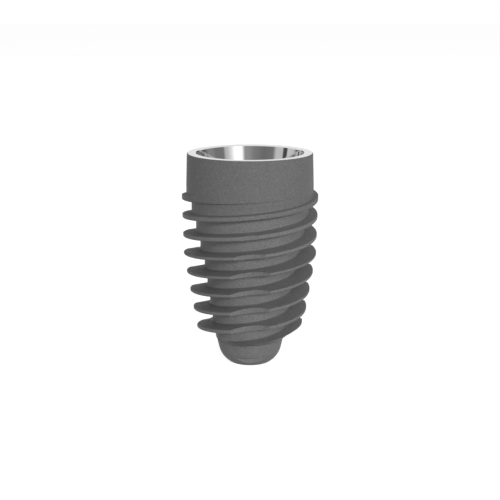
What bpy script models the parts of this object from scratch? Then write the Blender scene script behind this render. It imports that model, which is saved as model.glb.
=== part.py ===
"""Dental implant: one turned titanium screw, with a plain collar round a conical seat, a tapered
double-start thread, three shallow flutes and a blunt apex.

Frame: metres, +Z up along the screw's axis, origin at the middle of the flat apex, rim on top.
Depths are measured down from the rim plane. Angles round the axis are measured from -X through -Y,
the way the right-hand thread climbs. A ridge number counts thread ridges down from the collar, and
falls by one with each half turn, because the thread has two starts."""

import math

import bmesh
import bpy
from mathutils import Matrix

MM = 0.001
LENGTH = 9.45 * MM
SIDES = 54
FLUTE_SIDES = 36

# Collar and rim
RIM_RADIUS = 2.755 * MM
COLLAR_RADIUS = 2.796 * MM
COLLAR_DEPTH = 1.40 * MM
RIM_EDGE = 0.03 * MM

# Thread, both starts
PITCH = 0.8435 * MM
FIRST_RIDGE_DEPTH = 1.917 * MM
CREST_RADIUS = 3.0 * MM
CREST_TAPER = math.radians(1.32)
CREST_BREAK_DEPTH = 4.52 * MM
CREST_LOWER_TAPER = math.radians(9.36)
ROOT_RADIUS = 2.563 * MM
ROOT_TAPER = math.radians(12.14)
ROOT_BREAK_DEPTH = 4.88 * MM
ROOT_LOWER_TAPER = math.radians(7.57)

# Section of a ridge
UPPER_NECK_RIDGE = 2.0
LOWER_NECK_RIDGE = 3.2
BODY_RIDGE = 4.0
UPPER_HALF_NECK = 0.086 * MM
UPPER_HALF_BODY = 0.040 * MM
UPPER_GROWTH = 0.0145 * MM
UPPER_FLANK = math.radians(7.5)
UPPER_ROUND = 0.024 * MM
LOWER_HALF_NECK = 0.107 * MM
LOWER_HALF_BODY = 0.066 * MM
LOWER_FLANK = math.radians(6.1)
LOWER_ROUND = 0.069 * MM
ROOT_FILLET = 0.070 * MM
ROUND_STEPS = 2
FILLET_STEPS = 1
MOST_OF_FLANK = 0.4

# Ends of the thread, as ridge numbers
RIDGE_GONE = 0.80
RIDGE_FULL = 1.0
GROOVE_GONE = 0.60
GROOVE_FULL = 1.5
GROOVE_REGULAR = 2.0
GROOVE_LIFT = 0.06 * MM
GROOVE_NARROWING = 0.25 * MM
LEAD_START = 7.95
LEAD_FULL = 8.15
LEAD_RADIUS = 2.16 * MM

# Apex
SHOULDER_DEPTH = 8.34 * MM
SHOULDER_RADIUS = 1.54 * MM
BEVEL_ANGLE = math.radians(17.2)
NOSE_RADIUS = 1.505 * MM
NOSE_STEP = 0.03 * MM
NOSE_TAPER = math.radians(12.5)
NOSE_ROUND = 1.02 * MM
NOSE_END = math.radians(58.0)
NOSE_FLAT_RADIUS = 0.95 * MM
NOSE_STEPS = 6

# Flutes
FLUTES = 3
FLUTE_CUTTER_RADIUS = 1.5 * MM
FLUTE_START_DEPTH = 2.7 * MM
FLUTE_MIDDLE_DEPTH = 4.04 * MM
FLUTE_MIDDLE_CUT = 0.24 * MM
FLUTE_FULL_DEPTH = 4.88 * MM
FLUTE_FULL_CUT = 0.41 * MM
FLUTE_END_DEPTH = 8.25 * MM
APEX_FACET_RADIUS = 1.16 * MM
APEX_FACET_DEPTH = 8.99 * MM

# Seat, hexagon and screw bore
SEAT_RADIUS = 2.338 * MM
SEAT_ANGLE = math.radians(11.0)
SEAT_DEPTH = 2.2 * MM
HEX_FLATS = 3.0 * MM
HEX_DEPTH = 3.6 * MM
SCREW_RADIUS = 1.0 * MM
SCREW_DEPTH = 6.4 * MM
DRILL_POINT = math.radians(59.0)
CLEAR = 0.5 * MM


def ramp(value, start, end):
    """0 at start, 1 at end and straight between them."""
    return min(1.0, max(0.0, (value - start) / (end - start)))


def ridge_depth(number):
    return FIRST_RIDGE_DEPTH + PITCH * (number - 1.0)


def crest_radius(depth):
    """The thread's outer surface: nearly straight at the neck, then tapered."""
    upper = min(depth, CREST_BREAK_DEPTH) - FIRST_RIDGE_DEPTH
    lower = max(depth - CREST_BREAK_DEPTH, 0.0)
    return CREST_RADIUS - upper * math.tan(CREST_TAPER) - lower * math.tan(CREST_LOWER_TAPER)


def root_radius(number):
    """A groove's floor, which stays parallel to the axis across its width."""
    depth = ridge_depth(number)
    upper = min(depth, ROOT_BREAK_DEPTH) - ridge_depth(GROOVE_FULL)
    lower = max(depth - ROOT_BREAK_DEPTH, 0.0)
    full = ROOT_RADIUS - upper * math.tan(ROOT_TAPER) - lower * math.tan(ROOT_LOWER_TAPER)
    return COLLAR_RADIUS + (full - COLLAR_RADIUS) * ramp(number, GROOVE_GONE, GROOVE_FULL)


def upper_half(number):
    """How far a ridge's crest reaches above its middle: most at the neck, and again near the apex."""
    thinned = ramp(number, UPPER_NECK_RIDGE, BODY_RIDGE)
    half = UPPER_HALF_NECK + (UPPER_HALF_BODY - UPPER_HALF_NECK) * thinned
    return half + UPPER_GROWTH * max(number - BODY_RIDGE, 0.0)


def lower_half(number):
    """How far a ridge's crest reaches below its middle, before the lower edge is rounded."""
    thinned = ramp(number, LOWER_NECK_RIDGE, BODY_RIDGE)
    return LOWER_HALF_NECK + (LOWER_HALF_BODY - LOWER_HALF_NECK) * thinned


def bevel_radius(depth):
    """The cone that trims the last turn of the thread down to the shoulder."""
    return SHOULDER_RADIUS + max(SHOULDER_DEPTH - depth, 0.0) / math.tan(BEVEL_ANGLE)


def crest_level(number):
    """The crest's radius, fading into the collar at the top and stepped down on the last turn."""
    full = crest_radius(ridge_depth(number))
    level = COLLAR_RADIUS + (full - COLLAR_RADIUS) * ramp(number, RIDGE_GONE, RIDGE_FULL)
    level += (min(LEAD_RADIUS, full) - full) * ramp(number, LEAD_START, LEAD_FULL)
    if number > LEAD_START:
        level = min(level, bevel_radius(ridge_depth(number) - upper_half(number)))
    return level


def side(full, crest, root, half, flank, round_radius):
    """(offset, radius) down one side of a ridge, from its crest to its root."""
    slope = math.tan(flank)
    turn = math.pi / 2 - flank
    room = MOST_OF_FLANK * max(crest - root, 0.0)
    rounding = min(round_radius, room)
    fillet = min(ROOT_FILLET, room)
    top = half + (full - crest) * slope - rounding * math.tan(turn / 2)
    foot = half + (full - root) * slope + fillet * math.tan(turn / 2)
    points = []
    for step in range(ROUND_STEPS + 1):
        angle = turn * step / ROUND_STEPS
        points.append((top + rounding * math.sin(angle), crest - rounding * (1 - math.cos(angle))))
    for step in range(FILLET_STEPS + 1):
        angle = turn * (1 - step / FILLET_STEPS)
        points.append((foot - fillet * math.sin(angle), root + fillet * (1 - math.cos(angle))))
    return points


def section(number):
    """(depth, radius) of one ridge, from the groove above it to the groove below it."""
    centre = ridge_depth(number)
    full = crest_radius(centre)
    above = root_radius(number - 0.5)
    below = root_radius(number + 0.5)
    crest = max(crest_level(number), above)
    upper = side(full, crest, above, upper_half(number), UPPER_FLANK, UPPER_ROUND)
    lower = side(full, crest, min(below, crest), lower_half(number), LOWER_FLANK, LOWER_ROUND)
    faded = 1.0 - ramp(number + 0.5, GROOVE_GONE, GROOVE_FULL)
    lift = GROOVE_LIFT * ramp(-number - 0.5, -GROOVE_REGULAR, -GROOVE_FULL) + GROOVE_NARROWING * faded**2
    lead = ramp(number, LEAD_START, LEAD_FULL)
    edge_depth = centre - upper[0][0]
    points = [(centre - offset, radius) for offset, radius in reversed(upper)]
    for index, (offset, radius) in enumerate(lower):
        share = index / (len(lower) - 1)
        trimmed_depth = edge_depth + (SHOULDER_DEPTH - edge_depth) * share
        trimmed_radius = crest + (min(SHOULDER_RADIUS, crest) - crest) * share
        depth = centre + offset + lift
        points.append((depth + (trimmed_depth - depth) * lead, radius + (trimmed_radius - radius) * lead))
    return points


def skin_points(angle):
    """(depth, radius) down the whole threaded body at one angle, always with the same count."""
    last = math.ceil(2 + (SHOULDER_DEPTH - FIRST_RIDGE_DEPTH) / PITCH) + 2
    points = []
    for ridge in range(0, last + 1):
        points += section(ridge - angle / math.pi)
    shown = []
    for depth, radius in points:
        if depth <= COLLAR_DEPTH:
            shown.append((COLLAR_DEPTH, COLLAR_RADIUS))
        elif depth >= SHOULDER_DEPTH:
            shown.append((SHOULDER_DEPTH, SHOULDER_RADIUS))
        else:
            shown.append((depth, radius))
    return shown


def rim_profile():
    return [(0.0, 0.0), (0.0, RIM_RADIUS - RIM_EDGE), (RIM_EDGE, RIM_RADIUS), (COLLAR_DEPTH, COLLAR_RADIUS)]


def nose_profile():
    """From the shoulder down a cone, round an arc and across the flat apex to the axis."""
    arc_drop = NOSE_ROUND * (math.sin(NOSE_END) - math.sin(NOSE_TAPER))
    arc_inset = NOSE_ROUND * (math.cos(NOSE_TAPER) - math.cos(NOSE_END))
    arc_radius = NOSE_FLAT_RADIUS + arc_inset
    points = [(SHOULDER_DEPTH, SHOULDER_RADIUS), (SHOULDER_DEPTH + NOSE_STEP, NOSE_RADIUS)]
    for step in range(NOSE_STEPS + 1):
        angle = NOSE_TAPER + (NOSE_END - NOSE_TAPER) * step / NOSE_STEPS
        depth = LENGTH - arc_drop + NOSE_ROUND * (math.sin(angle) - math.sin(NOSE_TAPER))
        radius = arc_radius - NOSE_ROUND * (math.cos(NOSE_TAPER) - math.cos(angle))
        points.append((depth, radius))
    return points + [(LENGTH, 0.0)]


def put(mesh, angle, depth, radius):
    return mesh.verts.new((-radius * math.cos(angle), -radius * math.sin(angle), LENGTH - depth))


def add_object(name, mesh):
    bmesh.ops.remove_doubles(mesh, verts=mesh.verts, dist=1e-7)
    bmesh.ops.dissolve_degenerate(mesh, edges=mesh.edges, dist=1e-7)
    bmesh.ops.recalc_face_normals(mesh, faces=mesh.faces)
    data = bpy.data.meshes.new(name)
    mesh.to_mesh(data)
    mesh.free()
    made = bpy.data.objects.new(name, data)
    bpy.context.scene.collection.objects.link(made)
    return made


def threaded_blank(name):
    """Rim, collar, thread and nose as one closed skin: each column runs from the axis to the axis."""
    mesh = bmesh.new()
    columns = []
    for index in range(SIDES + 1):
        angle = 2 * math.pi * index / SIDES
        points = rim_profile() + skin_points(angle) + nose_profile()
        columns.append([put(mesh, angle, depth, radius) for depth, radius in points])
    for left, right in zip(columns, columns[1:]):
        for row in range(len(left) - 1):
            mesh.faces.new((left[row], left[row + 1], right[row + 1], right[row]))
    return add_object(name, mesh)


def turned(name, profile, sides=SIDES):
    """A closed body of revolution from (depth, radius) points that start and end on the axis."""
    mesh = bmesh.new()
    columns = []
    for index in range(sides + 1):
        angle = 2 * math.pi * index / sides
        columns.append([put(mesh, angle, depth, radius) for depth, radius in profile])
    for left, right in zip(columns, columns[1:]):
        for row in range(len(left) - 1):
            mesh.faces.new((left[row], left[row + 1], right[row + 1], right[row]))
    return add_object(name, mesh)


def extruded(name, outline, half_width, turn):
    """A prism across -Y from (depth, distance from the axis) points, turned about the axis."""
    mesh = bmesh.new()
    ends = []
    for x in (-half_width, half_width):
        ends.append([mesh.verts.new((x, -distance, LENGTH - depth)) for depth, distance in outline])
    count = len(outline)
    for index in range(count):
        after = (index + 1) % count
        mesh.faces.new((ends[0][index], ends[0][after], ends[1][after], ends[1][index]))
    mesh.faces.new(ends[0][::-1])
    mesh.faces.new(ends[1])
    bmesh.ops.rotate(mesh, cent=(0, 0, 0), matrix=Matrix.Rotation(turn, 3, "Z"), verts=mesh.verts)
    return add_object(name, mesh)


def cut(body, cutter):
    cutter.hide_render = True
    cutter.display_type = "WIRE"
    modifier = body.modifiers.new(cutter.name, "BOOLEAN")
    modifier.operation = "DIFFERENCE"
    modifier.object = cutter
    modifier.solver = "EXACT"


def flute_cutter(name, turn):
    """A round cutter that enters the crest at the neck and then runs parallel to the crest's taper."""
    path = [
        (FLUTE_START_DEPTH, crest_radius(FLUTE_START_DEPTH)),
        (FLUTE_MIDDLE_DEPTH, crest_radius(FLUTE_MIDDLE_DEPTH) - FLUTE_MIDDLE_CUT),
        (FLUTE_FULL_DEPTH, crest_radius(FLUTE_FULL_DEPTH) - FLUTE_FULL_CUT),
        (FLUTE_END_DEPTH, crest_radius(FLUTE_END_DEPTH) - FLUTE_FULL_CUT),
    ]
    mesh = bmesh.new()
    rings = []
    for depth, bottom in path:
        ring = []
        for index in range(FLUTE_SIDES):
            angle = 2 * math.pi * index / FLUTE_SIDES
            x = FLUTE_CUTTER_RADIUS * math.sin(angle)
            y = FLUTE_CUTTER_RADIUS * (1 - math.cos(angle)) + bottom
            ring.append(mesh.verts.new((x, -y, LENGTH - depth)))
        rings.append(ring)
    for above, below in zip(rings, rings[1:]):
        for index in range(FLUTE_SIDES):
            after = (index + 1) % FLUTE_SIDES
            mesh.faces.new((above[index], below[index], below[after], above[after]))
    mesh.faces.new(rings[0])
    mesh.faces.new(rings[-1][::-1])
    bmesh.ops.rotate(mesh, cent=(0, 0, 0), matrix=Matrix.Rotation(turn, 3, "Z"), verts=mesh.verts)
    return add_object(name, mesh)


def apex_facet_outline():
    outside = NOSE_RADIUS + CLEAR
    bottom = LENGTH + CLEAR
    return [
        (APEX_FACET_DEPTH, APEX_FACET_RADIUS),
        (bottom, APEX_FACET_RADIUS),
        (bottom, outside),
        (APEX_FACET_DEPTH, outside),
    ]


def seat_profile():
    """The conical seat, widened past the rim, with an edge break, down to the hexagon's top."""
    return [
        (-CLEAR, 0.0),
        (-CLEAR, SEAT_RADIUS + RIM_EDGE + CLEAR),
        (RIM_EDGE, SEAT_RADIUS),
        (SEAT_DEPTH, SEAT_RADIUS - (SEAT_DEPTH - RIM_EDGE) * math.tan(SEAT_ANGLE)),
        (SEAT_DEPTH, 0.0),
    ]


def hexagon_profile():
    corner = HEX_FLATS / 2 / math.cos(math.pi / 6)
    return [(SEAT_DEPTH - CLEAR, 0.0), (SEAT_DEPTH - CLEAR, corner), (HEX_DEPTH, corner), (HEX_DEPTH, 0.0)]


def screw_profile():
    tip = SCREW_DEPTH + SCREW_RADIUS / math.tan(DRILL_POINT)
    return [(HEX_DEPTH - CLEAR, 0.0), (HEX_DEPTH - CLEAR, SCREW_RADIUS), (SCREW_DEPTH, SCREW_RADIUS), (tip, 0.0)]


def titanium():
    material = bpy.data.materials.new("blasted_titanium")
    material.use_nodes = True
    shader = material.node_tree.nodes["Principled BSDF"]
    shader.inputs["Base Color"].default_value = (0.16, 0.16, 0.16, 1.0)
    shader.inputs["Metallic"].default_value = 0.4
    shader.inputs["Roughness"].default_value = 0.6
    return material


def main():
    for old in list(bpy.data.objects):
        bpy.data.objects.remove(old, do_unlink=True)
    body = threaded_blank("implant_body")
    body.data.materials.append(titanium())
    for index in range(FLUTES):
        turn = 2 * math.pi * index / FLUTES
        half_width = CREST_RADIUS / 2
        cut(body, flute_cutter(f"flute_{index + 1}_cutter", turn))
        cut(body, extruded(f"apex_facet_{index + 1}_cutter", apex_facet_outline(), half_width, turn))
    cut(body, turned("seat_cutter", seat_profile()))
    cut(body, turned("hexagon_cutter", hexagon_profile(), sides=6))
    cut(body, turned("screw_cutter", screw_profile()))
    body.data.shade_smooth()
    body.data.set_sharp_from_angle(angle=math.radians(30.0))


main()
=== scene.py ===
"""Looks of a dental implant: blasted titanium outside, machined bright metal on the rim and in the
seat, on a plain white floor. Metres, +Z up the implant's axis, origin at the middle of the apex.

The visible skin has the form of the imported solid, made finer, with a relief groove under the uncut
last turn and a screw thread in the bore. Depths are measured down from the rim plane. Angles round
the axis are measured from -X through -Y, the way the right-hand thread climbs. A ridge number counts
thread ridges down from the collar, and falls by one with each half turn, because the thread has two
starts."""

import math

import bmesh
import bpy
from mathutils import Matrix, Vector


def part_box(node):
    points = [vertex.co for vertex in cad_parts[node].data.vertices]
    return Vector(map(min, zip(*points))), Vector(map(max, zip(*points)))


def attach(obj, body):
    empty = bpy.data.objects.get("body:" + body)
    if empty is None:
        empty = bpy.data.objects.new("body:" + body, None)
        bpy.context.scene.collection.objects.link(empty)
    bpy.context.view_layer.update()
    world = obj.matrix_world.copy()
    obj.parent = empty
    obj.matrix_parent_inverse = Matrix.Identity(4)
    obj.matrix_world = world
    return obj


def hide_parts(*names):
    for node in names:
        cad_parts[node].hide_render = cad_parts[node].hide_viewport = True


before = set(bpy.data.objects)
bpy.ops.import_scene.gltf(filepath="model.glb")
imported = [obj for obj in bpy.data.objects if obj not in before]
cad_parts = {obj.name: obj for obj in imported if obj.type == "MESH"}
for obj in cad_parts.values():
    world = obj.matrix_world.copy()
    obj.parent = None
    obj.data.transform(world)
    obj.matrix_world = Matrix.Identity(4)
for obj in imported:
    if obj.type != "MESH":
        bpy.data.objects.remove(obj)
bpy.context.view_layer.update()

MM = 0.001
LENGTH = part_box("implant_body")[1].z
SIDES = 192
MERGE_DISTANCE = 0.0001 * MM
SHARP_ANGLE = math.radians(28.0)

# Collar and rim
RIM_RADIUS = 2.755 * MM
COLLAR_RADIUS = 2.796 * MM
COLLAR_DEPTH = 1.40 * MM
RIM_EDGE = 0.03 * MM

# Thread, all starts; the pitch is from one ridge to the next, and the lead is that times the starts
STARTS = 2
PITCH = 0.8435 * MM
FIRST_RIDGE_DEPTH = 1.917 * MM
CREST_RADIUS = 3.0 * MM
CREST_TAPER = math.radians(1.32)
CREST_BREAK_DEPTH = 4.52 * MM
CREST_LOWER_TAPER = math.radians(9.36)
ROOT_RADIUS = 2.563 * MM
ROOT_TAPER = math.radians(12.14)
ROOT_BREAK_DEPTH = 4.88 * MM
ROOT_LOWER_TAPER = math.radians(7.57)

# Section of a ridge: between these ridge numbers a crest thins out from the neck to the body, and
# the halves are its reach above and below its middle
UPPER_NECK_RIDGE = 2.0
LOWER_NECK_RIDGE = 3.2
BODY_RIDGE = 4.0
UPPER_HALF_NECK = 0.086 * MM
UPPER_HALF_BODY = 0.040 * MM
UPPER_GROWTH = 0.0145 * MM
UPPER_FLANK = math.radians(7.5)
UPPER_ROUND = 0.024 * MM
LOWER_HALF_NECK = 0.107 * MM
LOWER_HALF_BODY = 0.066 * MM
LOWER_FLANK = math.radians(6.1)
LOWER_ROUND = 0.069 * MM
ROOT_FILLET = 0.070 * MM
ROUND_STEPS = 6
FILLET_STEPS = 5
# The most of a flank that a round or a fillet takes
MOST_OF_FLANK = 0.4
# Points beside each round, which keep the flats between rounds flat
SUPPORT = 0.015 * MM
SUPPORT_SHARE_OF_ROOM = 1 / 8
SUPPORT_SHARE_OF_CREST = 1 / 3

# Ends of the thread, as ridge numbers
RIDGE_GONE = 0.80
RIDGE_FULL = 1.0
GROOVE_GONE = 0.60
GROOVE_FULL = 1.5
GROOVE_REGULAR = 2.0
# How far down the upper side of a groove moves near its start, and where the groove runs out
GROOVE_LIFT = 0.06 * MM
GROOVE_NARROWING = 0.25 * MM
# The last turn steps down to this radius between these ridge numbers
LEAD_START = 7.95
LEAD_FULL = 8.15
LEAD_RADIUS = 2.16 * MM
# Sections past the shoulder, which all lie on it
SPARE_RIDGES = 2

# Apex
SHOULDER_DEPTH = 8.34 * MM
SHOULDER_RADIUS = 1.54 * MM
BEVEL_ANGLE = math.radians(17.2)
NOSE_RADIUS = 1.494 * MM
NOSE_DEPTH = 8.42 * MM
RELIEF_RADIUS = 1.472 * MM
RELIEF_DEPTH = 8.375 * MM
NOSE_TAPER = math.radians(12.5)
NOSE_ROUND = 1.02 * MM
NOSE_END = math.radians(58.0)
NOSE_FLAT_RADIUS = 0.95 * MM
NOSE_STEPS = 12

# Flutes
FLUTES = 3
FLUTE_SIDES = 128
FLUTE_CUTTER_RADIUS = 1.5 * MM
FLUTE_START_DEPTH = 2.7 * MM
FLUTE_MIDDLE_DEPTH = 4.04 * MM
FLUTE_MIDDLE_CUT = 0.24 * MM
FLUTE_FULL_DEPTH = 4.88 * MM
FLUTE_FULL_CUT = 0.41 * MM
FLUTE_END_DEPTH = 7.86 * MM
APEX_FACET_RADIUS = 1.16 * MM
APEX_FACET_DEPTH = 8.99 * MM
APEX_FACET_HALF_WIDTH = 1.5 * MM

# Seat, hexagon and screw bore
SEAT_RADIUS = 2.338 * MM
SEAT_ANGLE = math.radians(11.0)
SEAT_DEPTH = 2.2 * MM
HEX_SIDES = 6
HEX_FLATS = 3.0 * MM
HEX_DEPTH = 3.6 * MM
SCREW_RADIUS = 1.0 * MM
SCREW_DEPTH = 6.4 * MM
SCREW_MINOR_RADIUS = 0.84 * MM
SCREW_PITCH = 0.4 * MM
SCREW_CREST = 0.06 * MM
SCREW_ROOT = 0.03 * MM
SCREW_SIDES = 96
SCREW_SPARE_TURNS = 2
DRILL_POINT = math.radians(59.0)
# How far a cutter reaches past the surface that it cuts
CLEAR = 0.5 * MM

# Camera
CAMERA_ELEVATION = math.radians(13.08)
CAMERA_DISTANCE = 46.49 * MM
CAMERA_TARGET_DEPTH = 4.375 * MM
CAMERA_LENS = 75.15
SENSOR_WIDTH = 36.0
CLIP_START = 1.0 * MM
CLIP_END = 5000.0 * MM

# Finishes, as material slots
BLASTED = 0
MACHINED = 1

# Blasted finish
TITANIUM_GREY = 0.16
BLASTED_SPECULAR = 0.2
BLASTED_ROUGHNESS = (0.5, 0.7)
# Painted shade: the grey is darkened by this factor from the first depth up to the rim, fading out down to
# the second depth
COLLAR_PAINTED_SHADE = 0.84
PAINTED_SHADE_START_DEPTH = 2.0 * MM
PAINTED_SHADE_END_DEPTH = 2.7 * MM
GRAIN_SIZE = 0.045 * MM
GRAIN_DETAIL = 2.0
GRAIN_CONTRAST = 1.3
GRAIN_HEIGHT = 0.008 * MM
PATCH_SIZE = 0.6 * MM
PATCH_DETAIL = 1.0
PATCH_CONTRAST = 0.1
NOISE_ROUGHNESS = 0.6

# Machined finish
MACHINED_GREY = 0.8
MACHINED_ROUGHNESS = (0.04, 0.10)
TURNING_PITCH = 0.03 * MM
TURNING_DETAIL = 1.0
TURNING_HEIGHT = 0.0003 * MM

# Floor
FLOOR_SIZE = 2000.0 * MM
FLOOR_GREY = 0.35
FLOOR_ROUGHNESS = 0.9
FLOOR_GLOW = 0.90

# Lamps: name, azimuth and elevation in degrees, width in metres, and share of full light
LAMP_DISTANCE = 0.3
LAMP_HEIGHT = 0.045
LAMPS = [
    ("key", 28.0, 19.0, 0.08, 0.58),
    ("front", 0.0, 24.0, 0.10, 0.11),
    ("right", 70.0, 13.0, 0.15, 0.22),
    ("left", -38.0, 5.0, 0.15, 0.29),
    ("back", 180.0, 1.5, 0.12, 0.90),
]

# Sky: the strength that lights matt surfaces, and the studio that bright metal mirrors instead
SKY_LIGHT = 0.225
# Grey above the soft boxes, then white overhead: strength, and the sines of the heights between
# which it takes over
MIRRORED_ABOVE = [
    (0.30, 0.25, 0.31),
    (0.90, 0.32, 0.41),
]
# Round the horizon: azimuth in degrees from the camera to the right, and strength
STUDIO_PEAK = 1.4
STUDIO_STOPS = [
    (-180, 0.86),
    (-175, 0.86),
    (-168, 0.06),
    (-138, 0.06),
    (-124, 0.13),
    (-118, 0.35),
    (-112, 0.60),
    (-93, 0.66),
    (-90, 0.07),
    (-81, 0.07),
    (-78, 0.60),
    (-62, 0.60),
    (-54, 0.20),
    (-31, 0.17),
    (-9, 0.23),
    (2, 0.32),
    (12, 0.34),
    (19, 1.40),
    (34, 1.40),
    (42, 0.92),
    (50, 0.64),
    (58, 0.50),
    (62, 0.20),
    (84, 0.20),
    (91, 0.26),
    (106, 0.26),
    (114, 0.16),
    (125, 0.08),
    (140, 0.04),
    (168, 0.04),
    (175, 0.86),
    (180, 0.86),
]


def ramp(value, start, end):
    """0 at start, 1 at end and straight between them."""
    return min(1.0, max(0.0, (value - start) / (end - start)))


def ridge_depth(number):
    return FIRST_RIDGE_DEPTH + PITCH * (number - 1.0)


def crest_radius(depth):
    """The thread's outer surface: nearly straight at the neck, then tapered."""
    upper = min(depth, CREST_BREAK_DEPTH) - FIRST_RIDGE_DEPTH
    lower = max(depth - CREST_BREAK_DEPTH, 0.0)
    return CREST_RADIUS - upper * math.tan(CREST_TAPER) - lower * math.tan(CREST_LOWER_TAPER)


def root_radius(number):
    """A groove's floor, which stays parallel to the axis across its width."""
    depth = ridge_depth(number)
    upper = min(depth, ROOT_BREAK_DEPTH) - ridge_depth(GROOVE_FULL)
    lower = max(depth - ROOT_BREAK_DEPTH, 0.0)
    full = ROOT_RADIUS - upper * math.tan(ROOT_TAPER) - lower * math.tan(ROOT_LOWER_TAPER)
    return COLLAR_RADIUS + (full - COLLAR_RADIUS) * ramp(number, GROOVE_GONE, GROOVE_FULL)


def upper_half(number):
    """How far a ridge's crest reaches above its middle: most at the neck, and again near the apex."""
    thinned = ramp(number, UPPER_NECK_RIDGE, BODY_RIDGE)
    half = UPPER_HALF_NECK + (UPPER_HALF_BODY - UPPER_HALF_NECK) * thinned
    return half + UPPER_GROWTH * max(number - BODY_RIDGE, 0.0)


def lower_half(number):
    """How far a ridge's crest reaches below its middle, before the lower edge is rounded."""
    thinned = ramp(number, LOWER_NECK_RIDGE, BODY_RIDGE)
    return LOWER_HALF_NECK + (LOWER_HALF_BODY - LOWER_HALF_NECK) * thinned


def bevel_radius(depth):
    """The cone that trims the last turn of the thread down to the shoulder."""
    return SHOULDER_RADIUS + max(SHOULDER_DEPTH - depth, 0.0) / math.tan(BEVEL_ANGLE)


def crest_level(number):
    """The crest's radius, fading into the collar at the top and stepped down on the last turn."""
    full = crest_radius(ridge_depth(number))
    level = COLLAR_RADIUS + (full - COLLAR_RADIUS) * ramp(number, RIDGE_GONE, RIDGE_FULL)
    level += (min(LEAD_RADIUS, full) - full) * ramp(number, LEAD_START, LEAD_FULL)
    if number > LEAD_START:
        level = min(level, bevel_radius(ridge_depth(number) - upper_half(number)))
    return level


def side(full, crest, root, half, flank, round_radius):
    """(offset, radius) down one side of a ridge, from its crest to its root, with support points
    close to each round so that the flats between them shade as flats."""
    slope = math.tan(flank)
    turn = math.pi / 2 - flank
    room = MOST_OF_FLANK * max(crest - root, 0.0)
    rounding = min(round_radius, room)
    fillet = min(ROOT_FILLET, room)
    support = min(SUPPORT, room * SUPPORT_SHARE_OF_ROOM)
    top = half + (full - crest) * slope - rounding * math.tan(turn / 2)
    foot = half + (full - root) * slope + fillet * math.tan(turn / 2)
    points = []
    for step in range(ROUND_STEPS + 1):
        angle = turn * step / ROUND_STEPS
        points.append((top + rounding * math.sin(angle), crest - rounding * (1 - math.cos(angle))))
    offset, radius = points[-1]
    points.append((offset + support * slope, radius - support))
    offset = foot - fillet * math.sin(turn)
    radius = root + fillet * (1 - math.cos(turn))
    points.append((offset - support * slope, radius + support))
    for step in range(FILLET_STEPS + 1):
        angle = turn * (1 - step / FILLET_STEPS)
        points.append((foot - fillet * math.sin(angle), root + fillet * (1 - math.cos(angle))))
    points.append((foot + support, root))
    return points


def section(number):
    """(depth, radius) of one ridge, from the groove above it to the groove below it."""
    centre = ridge_depth(number)
    full = crest_radius(centre)
    above = root_radius(number - 0.5)
    below = root_radius(number + 0.5)
    crest = max(crest_level(number), above)
    lead = ramp(number, LEAD_START, LEAD_FULL)
    upper = side(full, crest, above, upper_half(number), UPPER_FLANK, UPPER_ROUND * (1.0 - lead))
    lower = side(full, crest, min(below, crest), lower_half(number), LOWER_FLANK, LOWER_ROUND)
    margin = min(SUPPORT, (upper[0][0] + lower[0][0]) * SUPPORT_SHARE_OF_CREST) * (1.0 - lead)
    upper.insert(0, (upper[0][0] - margin, crest))
    lower.insert(0, (lower[0][0] - margin, crest))
    faded = 1.0 - ramp(number + 0.5, GROOVE_GONE, GROOVE_FULL)
    lift = GROOVE_LIFT * ramp(-number - 0.5, -GROOVE_REGULAR, -GROOVE_FULL) + GROOVE_NARROWING * faded**2
    edge_depth = centre - upper[0][0]
    points = [(centre - offset, radius) for offset, radius in reversed(upper)]
    for index, (offset, radius) in enumerate(lower):
        share = index / (len(lower) - 1)
        trimmed_depth = edge_depth + (SHOULDER_DEPTH - edge_depth) * share
        trimmed_radius = crest + (min(SHOULDER_RADIUS, crest) - crest) * share
        depth = centre + offset + lift
        points.append((depth + (trimmed_depth - depth) * lead, radius + (trimmed_radius - radius) * lead))
    return points


def skin_points(angle):
    """(depth, radius) down the whole threaded body at one angle, always with the same count."""
    last = math.ceil((SHOULDER_DEPTH - FIRST_RIDGE_DEPTH) / PITCH) + STARTS + SPARE_RIDGES
    points = []
    for ridge in range(last + 1):
        points += section(ridge - STARTS * angle / (2 * math.pi))
    shown = []
    for depth, radius in points:
        if depth <= COLLAR_DEPTH:
            shown.append((COLLAR_DEPTH, COLLAR_RADIUS))
        elif depth >= SHOULDER_DEPTH:
            shown.append((SHOULDER_DEPTH, SHOULDER_RADIUS))
        else:
            shown.append((depth, radius))
    return shown


def rim_profile():
    """From the axis across the rim, over its edge break and down the collar."""
    return [(0.0, 0.0), (0.0, RIM_RADIUS - RIM_EDGE), (RIM_EDGE, RIM_RADIUS), (COLLAR_DEPTH, COLLAR_RADIUS)]


def nose_profile():
    """From the shoulder past a relief groove, down a cone, round an arc and across the flat apex."""
    arc_drop = NOSE_ROUND * (math.sin(NOSE_END) - math.sin(NOSE_TAPER))
    arc_inset = NOSE_ROUND * (math.cos(NOSE_TAPER) - math.cos(NOSE_END))
    arc_radius = NOSE_FLAT_RADIUS + arc_inset
    points = [(SHOULDER_DEPTH, SHOULDER_RADIUS), (RELIEF_DEPTH, RELIEF_RADIUS), (NOSE_DEPTH, NOSE_RADIUS)]
    for step in range(NOSE_STEPS + 1):
        angle = NOSE_TAPER + (NOSE_END - NOSE_TAPER) * step / NOSE_STEPS
        depth = LENGTH - arc_drop + NOSE_ROUND * (math.sin(angle) - math.sin(NOSE_TAPER))
        radius = arc_radius - NOSE_ROUND * (math.cos(NOSE_TAPER) - math.cos(angle))
        points.append((depth, radius))
    return points + [(LENGTH, 0.0)]


def put(mesh, angle, depth, radius):
    return mesh.verts.new((-radius * math.cos(angle), -radius * math.sin(angle), LENGTH - depth))


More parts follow.
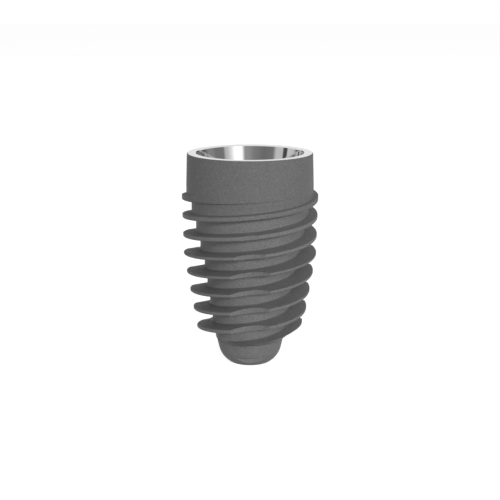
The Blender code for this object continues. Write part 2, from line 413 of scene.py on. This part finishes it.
def add_object(name, mesh):
    bmesh.ops.remove_doubles(mesh, verts=mesh.verts, dist=MERGE_DISTANCE)
    bmesh.ops.dissolve_degenerate(mesh, edges=mesh.edges, dist=MERGE_DISTANCE)
    bmesh.ops.recalc_face_normals(mesh, faces=mesh.faces)
    data = bpy.data.meshes.new(name)
    mesh.to_mesh(data)
    mesh.free()
    made = bpy.data.objects.new(name, data)
    bpy.context.scene.collection.objects.link(made)
    return made


def grid(name, columns_of, sides, finish_of_row):
    """A closed skin: columns_of gives one column of (depth, radius), from the axis to the axis, for
    each angle, and finish_of_row gives the material of the faces below each point."""
    mesh = bmesh.new()
    columns = []
    for index in range(sides + 1):
        angle = 2 * math.pi * index / sides
        columns.append([put(mesh, angle, depth, radius) for depth, radius in columns_of(angle)])
    for left, right in zip(columns, columns[1:]):
        for row in range(len(left) - 1):
            face = mesh.faces.new((left[row], left[row + 1], right[row + 1], right[row]))
            face.material_index = finish_of_row(row)
    return add_object(name, mesh)


def single_finish(row):
    """A cutter has one material until cut() gives it its finish."""
    return 0


def extruded(name, outline, half_width, turn):
    """A prism across -Y from (depth, distance from the axis) points, turned about the axis."""
    mesh = bmesh.new()
    ends = []
    for x in (-half_width, half_width):
        ends.append([mesh.verts.new((x, -distance, LENGTH - depth)) for depth, distance in outline])
    count = len(outline)
    for index in range(count):
        after = (index + 1) % count
        mesh.faces.new((ends[0][index], ends[0][after], ends[1][after], ends[1][index]))
    mesh.faces.new(ends[0][::-1])
    mesh.faces.new(ends[1])
    bmesh.ops.rotate(mesh, cent=(0, 0, 0), matrix=Matrix.Rotation(turn, 3, "Z"), verts=mesh.verts)
    return add_object(name, mesh)


def cut(body, cutter, finish):
    """Cuts the body, and gives the cut's faces that finish."""
    for material in body.data.materials:
        cutter.data.materials.append(material)
    for face in cutter.data.polygons:
        face.material_index = finish
    modifier = body.modifiers.new(cutter.name, "BOOLEAN")
    modifier.operation = "DIFFERENCE"
    modifier.object = cutter
    modifier.solver = "EXACT"
    bpy.context.view_layer.update()
    evaluated = body.evaluated_get(bpy.context.evaluated_depsgraph_get())
    result = bpy.data.meshes.new_from_object(evaluated)
    body.modifiers.clear()
    body.data = result
    bpy.data.objects.remove(cutter, do_unlink=True)


def flute_cutter(name, turn):
    """A round cutter that enters the crest at the neck and then runs parallel to the crest's taper."""
    path = [
        (FLUTE_START_DEPTH, crest_radius(FLUTE_START_DEPTH)),
        (FLUTE_MIDDLE_DEPTH, crest_radius(FLUTE_MIDDLE_DEPTH) - FLUTE_MIDDLE_CUT),
        (FLUTE_FULL_DEPTH, crest_radius(FLUTE_FULL_DEPTH) - FLUTE_FULL_CUT),
        (FLUTE_END_DEPTH, crest_radius(FLUTE_END_DEPTH) - FLUTE_FULL_CUT),
    ]
    mesh = bmesh.new()
    rings = []
    for depth, bottom in path:
        ring = []
        for index in range(FLUTE_SIDES):
            angle = 2 * math.pi * index / FLUTE_SIDES
            x = FLUTE_CUTTER_RADIUS * math.sin(angle)
            y = FLUTE_CUTTER_RADIUS * (1 - math.cos(angle)) + bottom
            ring.append(mesh.verts.new((x, -y, LENGTH - depth)))
        rings.append(ring)
    for above, below in zip(rings, rings[1:]):
        for index in range(FLUTE_SIDES):
            after = (index + 1) % FLUTE_SIDES
            mesh.faces.new((above[index], below[index], below[after], above[after]))
    mesh.faces.new(rings[0])
    mesh.faces.new(rings[-1][::-1])
    bmesh.ops.rotate(mesh, cent=(0, 0, 0), matrix=Matrix.Rotation(turn, 3, "Z"), verts=mesh.verts)
    return add_object(name, mesh)


def apex_facet_outline():
    outside = NOSE_RADIUS + CLEAR
    bottom = LENGTH + CLEAR
    return [
        (APEX_FACET_DEPTH, APEX_FACET_RADIUS),
        (bottom, APEX_FACET_RADIUS),
        (bottom, outside),
        (APEX_FACET_DEPTH, outside),
    ]


def seat_profile():
    """The conical seat, widened past the rim, with an edge break, down to the hexagon's top."""
    return [
        (-CLEAR, 0.0),
        (-CLEAR, SEAT_RADIUS + RIM_EDGE + CLEAR),
        (RIM_EDGE, SEAT_RADIUS),
        (SEAT_DEPTH, SEAT_RADIUS - (SEAT_DEPTH - RIM_EDGE) * math.tan(SEAT_ANGLE)),
        (SEAT_DEPTH, 0.0),
    ]


def hexagon_profile():
    corner = HEX_FLATS / 2 / math.cos(math.pi / HEX_SIDES)
    return [(SEAT_DEPTH - CLEAR, 0.0), (SEAT_DEPTH - CLEAR, corner), (HEX_DEPTH, corner), (HEX_DEPTH, 0.0)]


def screw_profile(angle):
    """The bore's countersink, its right-hand screw thread and its drill point, at one angle."""
    start = HEX_DEPTH + SCREW_RADIUS - SCREW_MINOR_RADIUS
    end = SCREW_DEPTH - SCREW_PITCH
    half_crest = SCREW_CREST / 2
    half_root = SCREW_ROOT / 2
    points = [(HEX_DEPTH - CLEAR, 0.0), (HEX_DEPTH - CLEAR, SCREW_RADIUS), (HEX_DEPTH, SCREW_RADIUS)]
    for turn in range(math.ceil((end - start) / SCREW_PITCH) + SCREW_SPARE_TURNS):
        crest = start + SCREW_PITCH * (turn - angle / (2 * math.pi))
        root = crest + SCREW_PITCH / 2
        for depth, radius in (
            (crest - half_crest, SCREW_MINOR_RADIUS),
            (crest + half_crest, SCREW_MINOR_RADIUS),
            (root - half_root, SCREW_RADIUS),
            (root + half_root, SCREW_RADIUS),
        ):
            if depth <= start or depth >= end:
                points.append((min(max(depth, start), end), SCREW_MINOR_RADIUS))
            else:
                points.append((depth, radius))
    tip = SCREW_DEPTH + SCREW_MINOR_RADIUS / math.tan(DRILL_POINT)
    return points + [(SCREW_DEPTH, SCREW_MINOR_RADIUS), (tip, 0.0)]


def math_node(nodes, links, operation, *inputs):
    """A maths node with each input linked or set, and its output."""
    node = nodes.new("ShaderNodeMath")
    node.operation = operation
    for index, value in enumerate(inputs):
        if isinstance(value, float):
            node.inputs[index].default_value = value
        else:
            links.new(value, node.inputs[index])
    return node.outputs[0]


def ranged(nodes, links, value, start, end, low, high):
    """The value, taken from the range start to end onto low to high, and kept within that."""
    node = nodes.new("ShaderNodeMapRange")
    node.inputs["From Min"].default_value = start
    node.inputs["From Max"].default_value = end
    node.inputs["To Min"].default_value = low
    node.inputs["To Max"].default_value = high
    links.new(value, node.inputs["Value"])
    return node.outputs["Result"]


def mixed(nodes, links, share, low, high):
    """The low value where share is 0 and the high one where it is 1, each linked or set."""
    node = nodes.new("ShaderNodeMix")
    node.data_type = "FLOAT"
    links.new(share, node.inputs[0])
    for socket, value in ((node.inputs[2], low), (node.inputs[3], high)):
        if isinstance(value, float):
            socket.default_value = value
        else:
            links.new(value, socket)
    return node.outputs[0]


def noise(nodes, links, place, size, detail):
    node = nodes.new("ShaderNodeTexNoise")
    node.inputs["Scale"].default_value = 1.0 / size
    node.inputs["Detail"].default_value = detail
    node.inputs["Roughness"].default_value = NOISE_ROUGHNESS
    links.new(place, node.inputs["Vector"])
    return node.outputs["Fac"]


def varied(nodes, links, value, contrast):
    """A factor round 1 that a noise value moves up and down."""
    least = 1.0 - contrast / 2
    return ranged(nodes, links, value, 0.0, 1.0, least, least + contrast)


def add_bump(nodes, links, shader, value, height):
    bump = nodes.new("ShaderNodeBump")
    bump.inputs["Distance"].default_value = height
    links.new(value, bump.inputs["Height"])
    links.new(bump.outputs["Normal"], shader.inputs["Normal"])


def blasted_titanium():
    """Matt grey with the fine grain of blasting, and painted shade that darkens the collar and the neck
    just below it.
    """
    material = bpy.data.materials.new("blasted_titanium")
    material.use_nodes = True
    nodes = material.node_tree.nodes
    links = material.node_tree.links
    shader = nodes["Principled BSDF"]
    place = nodes.new("ShaderNodeTexCoord").outputs["Object"]
    axes = nodes.new("ShaderNodeSeparateXYZ")
    links.new(place, axes.inputs[0])
    # Painted shade: the grey is darkened towards the collar, in full above the first depth and fading out
    # down to the second
    low = LENGTH - PAINTED_SHADE_END_DEPTH
    high = LENGTH - PAINTED_SHADE_START_DEPTH
    painted_shade_grey = ranged(nodes, links, axes.outputs["Z"], low, high, TITANIUM_GREY, TITANIUM_GREY * COLLAR_PAINTED_SHADE)
    grain = noise(nodes, links, place, GRAIN_SIZE, GRAIN_DETAIL)
    patches = noise(nodes, links, place, PATCH_SIZE, PATCH_DETAIL)
    grained = varied(nodes, links, grain, GRAIN_CONTRAST)
    patched = varied(nodes, links, patches, PATCH_CONTRAST)
    grey = math_node(nodes, links, "MULTIPLY", painted_shade_grey, math_node(nodes, links, "MULTIPLY", grained, patched))
    links.new(grey, shader.inputs["Base Color"])
    links.new(ranged(nodes, links, grain, 0.0, 1.0, *BLASTED_ROUGHNESS), shader.inputs["Roughness"])
    shader.inputs["Specular IOR Level"].default_value = BLASTED_SPECULAR
    add_bump(nodes, links, shader, grain, GRAIN_HEIGHT)
    return material


def machined_titanium():
    """Bright metal with faint turning lines that run round the axis."""
    material = bpy.data.materials.new("machined_titanium")
    material.use_nodes = True
    nodes = material.node_tree.nodes
    links = material.node_tree.links
    shader = nodes["Principled BSDF"]
    place = nodes.new("ShaderNodeTexCoord").outputs["Object"]
    axes = nodes.new("ShaderNodeSeparateXYZ")
    links.new(place, axes.inputs[0])
    flat = nodes.new("ShaderNodeCombineXYZ")
    links.new(axes.outputs["X"], flat.inputs["X"])
    links.new(axes.outputs["Y"], flat.inputs["Y"])
    radius = nodes.new("ShaderNodeVectorMath")
    radius.operation = "LENGTH"
    links.new(flat.outputs[0], radius.inputs[0])
    travel = math_node(nodes, links, "SUBTRACT", radius.outputs["Value"], axes.outputs["Z"])
    lines = nodes.new("ShaderNodeTexNoise")
    lines.noise_dimensions = "1D"
    lines.inputs["Scale"].default_value = 1.0 / TURNING_PITCH
    lines.inputs["Detail"].default_value = TURNING_DETAIL
    links.new(travel, lines.inputs["W"])
    height = lines.outputs["Fac"]
    shader.inputs["Base Color"].default_value = (MACHINED_GREY, MACHINED_GREY, MACHINED_GREY, 1.0)
    shader.inputs["Metallic"].default_value = 1.0
    links.new(ranged(nodes, links, height, 0.0, 1.0, *MACHINED_ROUGHNESS), shader.inputs["Roughness"])
    add_bump(nodes, links, shader, height, TURNING_HEIGHT)
    return material


def implant():
    """The skin, cut by the flutes, the apex facets, the seat, the hexagon and the screw bore."""
    rim = rim_profile()
    nose = nose_profile()
    whole = grid(
        "implant",
        lambda angle: rim + skin_points(angle) + nose,
        SIDES,
        lambda row: MACHINED if row < 1 else BLASTED,
    )
    whole.data.materials.append(blasted_titanium())
    whole.data.materials.append(machined_titanium())
    for index in range(FLUTES):
        turn = 2 * math.pi * index / FLUTES
        cut(whole, flute_cutter(f"flute_{index + 1}", turn), BLASTED)
        facet = extruded(f"apex_facet_{index + 1}", apex_facet_outline(), APEX_FACET_HALF_WIDTH, turn)
        cut(whole, facet, BLASTED)
    cut(whole, grid("seat", lambda angle: seat_profile(), SIDES, single_finish), MACHINED)
    cut(whole, grid("hexagon", lambda angle: hexagon_profile(), HEX_SIDES, single_finish), MACHINED)
    cut(whole, grid("screw_bore", screw_profile, SCREW_SIDES, single_finish), MACHINED)
    whole.data.shade_smooth()
    whole.data.set_sharp_from_angle(angle=SHARP_ANGLE)
    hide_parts("implant_body")
    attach(whole, "root")


def area_lamp(name, azimuth, elevation, width, share):
    """A lamp that faces the implant. Azimuth runs from the camera to the right, and a share of
    1 lights a facing surface so that its colour renders as written. Bright metal mirrors the
    studio in the sky instead of the lamp."""
    around = math.radians(azimuth)
    up = math.radians(elevation)
    middle = Vector((0.0, 0.0, LENGTH / 2))
    offset = Vector((math.cos(up) * math.sin(around), -math.cos(up) * math.cos(around), math.sin(up)))
    light = bpy.data.lights.new(name, "AREA")
    light.shape = "RECTANGLE"
    light.size = width
    light.size_y = LAMP_HEIGHT
    light.energy = share * (math.pi * LAMP_DISTANCE) ** 2
    lamp = bpy.data.objects.new(name, light)
    bpy.context.scene.collection.objects.link(lamp)
    lamp.location = middle + offset * LAMP_DISTANCE
    lamp.rotation_euler = offset.to_track_quat("Z", "Y").to_euler()
    lamp.visible_glossy = False


def background_share(nodes, links, *rays):
    """1 for these kinds of ray, which see the white background, and 0 for all others."""
    path = nodes.new("ShaderNodeLightPath")
    share = path.outputs[rays[0]]
    for ray in rays[1:]:
        share = math_node(nodes, links, "MAXIMUM", share, path.outputs[ray])
    return share


def studio_ramp(nodes, links, azimuth):
    """The mirrored studio's strength at an azimuth in radians."""
    ramp_node = nodes.new("ShaderNodeValToRGB")
    stops = ramp_node.color_ramp.elements
    while len(stops) > 1:
        stops.remove(stops[-1])
    for index, (degrees, strength) in enumerate(STUDIO_STOPS):
        position = (degrees + 180.0) / 360.0
        stop = stops[0] if index == 0 else stops.new(position)
        stop.position = position
        share_of_peak = strength / STUDIO_PEAK
        stop.color = (share_of_peak, share_of_peak, share_of_peak, 1.0)
    links.new(ranged(nodes, links, azimuth, -math.pi, math.pi, 0.0, 1.0), ramp_node.inputs["Fac"])
    return math_node(nodes, links, "MULTIPLY", ramp_node.outputs["Color"], STUDIO_PEAK)


def sky_strength(nodes, links):
    """White for the camera and through glass, plain soft light for matt surfaces, and for bright
    metal a studio: pale behind, dim in front, with upright soft boxes on either side."""
    place = nodes.new("ShaderNodeTexCoord")
    axes = nodes.new("ShaderNodeSeparateXYZ")
    links.new(place.outputs["Generated"], axes.inputs[0])
    front = math_node(nodes, links, "MULTIPLY", axes.outputs["Y"], -1.0)
    azimuth = math_node(nodes, links, "ARCTAN2", axes.outputs["X"], front)
    mirrored = studio_ramp(nodes, links, azimuth)
    for strength, start, full in MIRRORED_ABOVE:
        above = ranged(nodes, links, axes.outputs["Z"], start, full, 0.0, 1.0)
        mirrored = mixed(nodes, links, above, mirrored, strength)
    glossy = background_share(nodes, links, "Is Glossy Ray")
    lit = mixed(nodes, links, glossy, SKY_LIGHT, mirrored)
    seen = background_share(nodes, links, "Is Camera Ray", "Is Transmission Ray")
    return mixed(nodes, links, seen, lit, 1.0)


def white_floor():
    """A plain floor that takes shadows. Its glow shows white to the camera and in metal and glass,
    and lights nothing else."""
    material = bpy.data.materials.new("white_floor")
    material.use_nodes = True
    nodes = material.node_tree.nodes
    links = material.node_tree.links
    shader = nodes["Principled BSDF"]
    shader.inputs["Base Color"].default_value = (FLOOR_GREY, FLOOR_GREY, FLOOR_GREY, 1.0)
    shader.inputs["Roughness"].default_value = FLOOR_ROUGHNESS
    shader.inputs["Specular IOR Level"].default_value = 0.0
    glow = nodes.new("ShaderNodeEmission")
    glow.inputs["Strength"].default_value = FLOOR_GLOW
    glowing = nodes.new("ShaderNodeAddShader")
    links.new(shader.outputs[0], glowing.inputs[0])
    links.new(glow.outputs[0], glowing.inputs[1])
    seen = background_share(nodes, links, "Is Camera Ray", "Is Glossy Ray", "Is Transmission Ray")
    mix = nodes.new("ShaderNodeMixShader")
    links.new(seen, mix.inputs[0])
    links.new(shader.outputs[0], mix.inputs[1])
    links.new(glowing.outputs[0], mix.inputs[2])
    links.new(mix.outputs[0], nodes["Material Output"].inputs["Surface"])
    return material


def studio():
    world = bpy.data.worlds.new("studio")
    world.use_nodes = True
    bpy.context.scene.world = world
    nodes = world.node_tree.nodes
    links = world.node_tree.links
    background = nodes["Background"]
    background.inputs["Color"].default_value = (1.0, 1.0, 1.0, 1.0)
    links.new(sky_strength(nodes, links), background.inputs["Strength"])
    bpy.ops.mesh.primitive_plane_add(size=FLOOR_SIZE, location=(0, 0, 0))
    floor = bpy.context.object
    floor.name = "floor"
    floor.data.materials.append(white_floor())
    for name, azimuth, elevation, width, share in LAMPS:
        area_lamp(name, azimuth, elevation, width, share)


def camera():
    """The photograph's view: in front, a little above, looking down."""
    data = bpy.data.cameras.new("camera")
    data.lens = CAMERA_LENS
    data.sensor_width = SENSOR_WIDTH
    data.clip_start = CLIP_START
    data.clip_end = CLIP_END
    eye = bpy.data.objects.new("camera", data)
    bpy.context.scene.collection.objects.link(eye)
    back = CAMERA_DISTANCE * math.cos(CAMERA_ELEVATION)
    up = CAMERA_DISTANCE * math.sin(CAMERA_ELEVATION)
    eye.location = (0, -back, LENGTH - CAMERA_TARGET_DEPTH + up)
    eye.rotation_euler = (math.pi / 2 - CAMERA_ELEVATION, 0, 0)
    bpy.context.scene.camera = eye


camera()
studio()
implant()
bpy.context.scene.view_settings.view_transform = "Standard"
